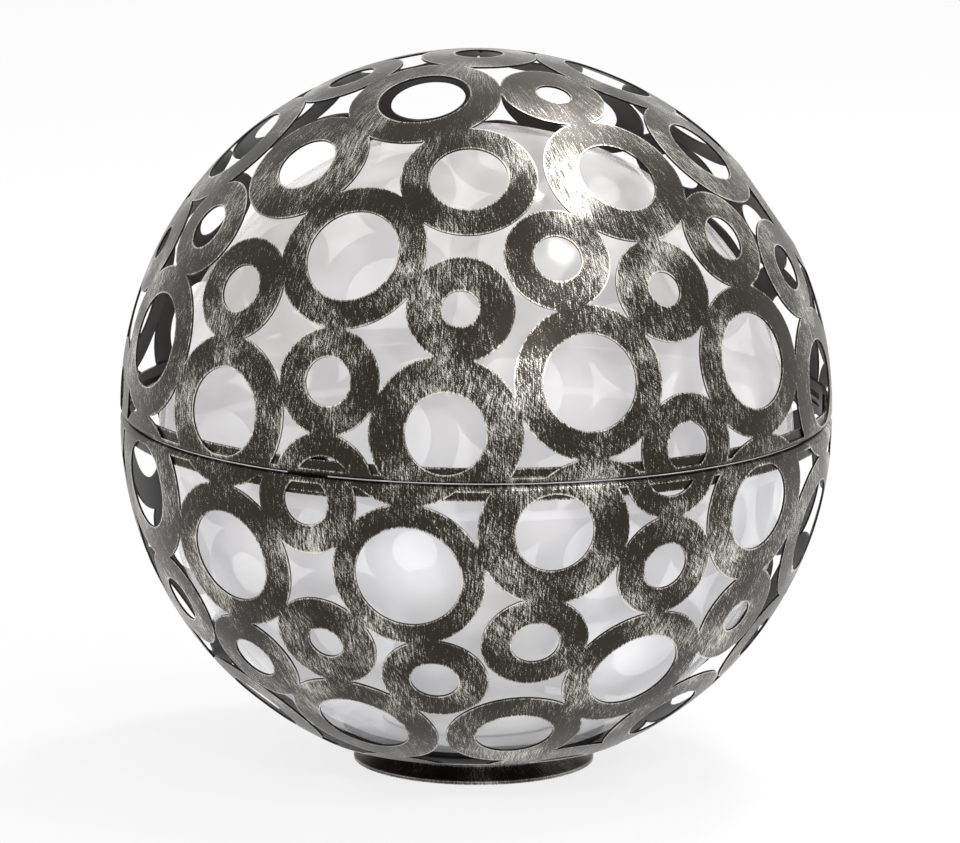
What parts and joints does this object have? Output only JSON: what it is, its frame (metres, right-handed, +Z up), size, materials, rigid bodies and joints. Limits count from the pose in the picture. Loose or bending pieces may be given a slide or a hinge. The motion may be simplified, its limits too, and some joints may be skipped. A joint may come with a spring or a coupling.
{
  "type": "garden globe light",
  "caption": "Round table or garden light: a pierced metal shell of ring cut-outs in two halves round a milky globe, on a low flared foot, lit from a battery unit in its floor.",
  "frame": {"origin": "centre of the foot's flat underside", "axes": "+Z up along the axis of the shell; -Y towards the front of the picture"},
  "size_m": [0.28, 0.28, 0.2823],
  "materials": {
    "antique_steel": "dark antique coat brushed with silver",
    "globe_plastic": "milky, partly see-through, smooth",
    "housing_plastic": "white moulded",
    "lens_plastic": "frosted",
    "dark_plastic": "black moulded",
    "seal_rubber": "soft",
    "plain_steel": "zinc plated",
    "contact_brass": "plain strip",
    "cell_jacket": "satin jacket",
    "board_laminate": "white coated laminate",
    "emitter_phosphor": "phosphor window"
  },
  "bodies": {
    "base": {"lower_shell": "antique_steel", "lower_rim_band": "antique_steel", "locating_tab_1": "antique_steel", "locating_tab_2": "antique_steel", "locating_tab_3": "antique_steel", "foot_ring": "antique_steel", "globe_gasket": "seal_rubber", "globe_lower": "globe_plastic", "globe_upper": "globe_plastic", "housing_gasket": "seal_rubber", "light_housing": "housing_plastic", "nut_washer": "plain_steel", "retaining_nut": "dark_plastic", "battery_cassette": "dark_plastic", "battery_cell_1": "cell_jacket", "battery_cell_2": "cell_jacket", "battery_cell_3": "cell_jacket", "battery_cell_4": "cell_jacket", "lower_link_1": "contact_brass", "lower_link_2": "contact_brass", "upper_link": "contact_brass", "end_contact_1": "contact_brass", "end_contact_2": "contact_brass", "feed_strip_1": "contact_brass", "feed_strip_2": "contact_brass", "lamp_board": "board_laminate", "emitter_1": "emitter_phosphor", "emitter_2": "emitter_phosphor", "emitter_3": "emitter_phosphor", "emitter_4": "emitter_phosphor", "driver_chip": "dark_plastic", "board_screws": "plain_steel", "lens": "lens_plastic", "switch_body": "dark_plastic", "switch_strip_1": "contact_brass", "switch_strip_2": "contact_brass"},
    "lid": {"upper_shell": "antique_steel", "upper_rim_band": "antique_steel"},
    "cover": {"battery_cover": "housing_plastic", "cover_seal": "seal_rubber"},
    "slider": {"switch_slider": "dark_plastic"}
  },
  "joints": [
    {"name": "lid_lift", "type": "slide", "parent": "base", "child": "lid", "axis": [0, 0, 1], "range_m": [0, 0.13]},
    {"name": "cover_twist", "type": "hinge", "parent": "base", "child": "cover", "pos_m": [0, 0, 0.004], "axis": [0, 0, 1], "range_deg": [0, 35]},
    {"name": "switch_slide", "type": "slide", "parent": "base", "child": "slider", "axis": [1, 0, 0], "range_m": [0, 0.004]}
  ]
}
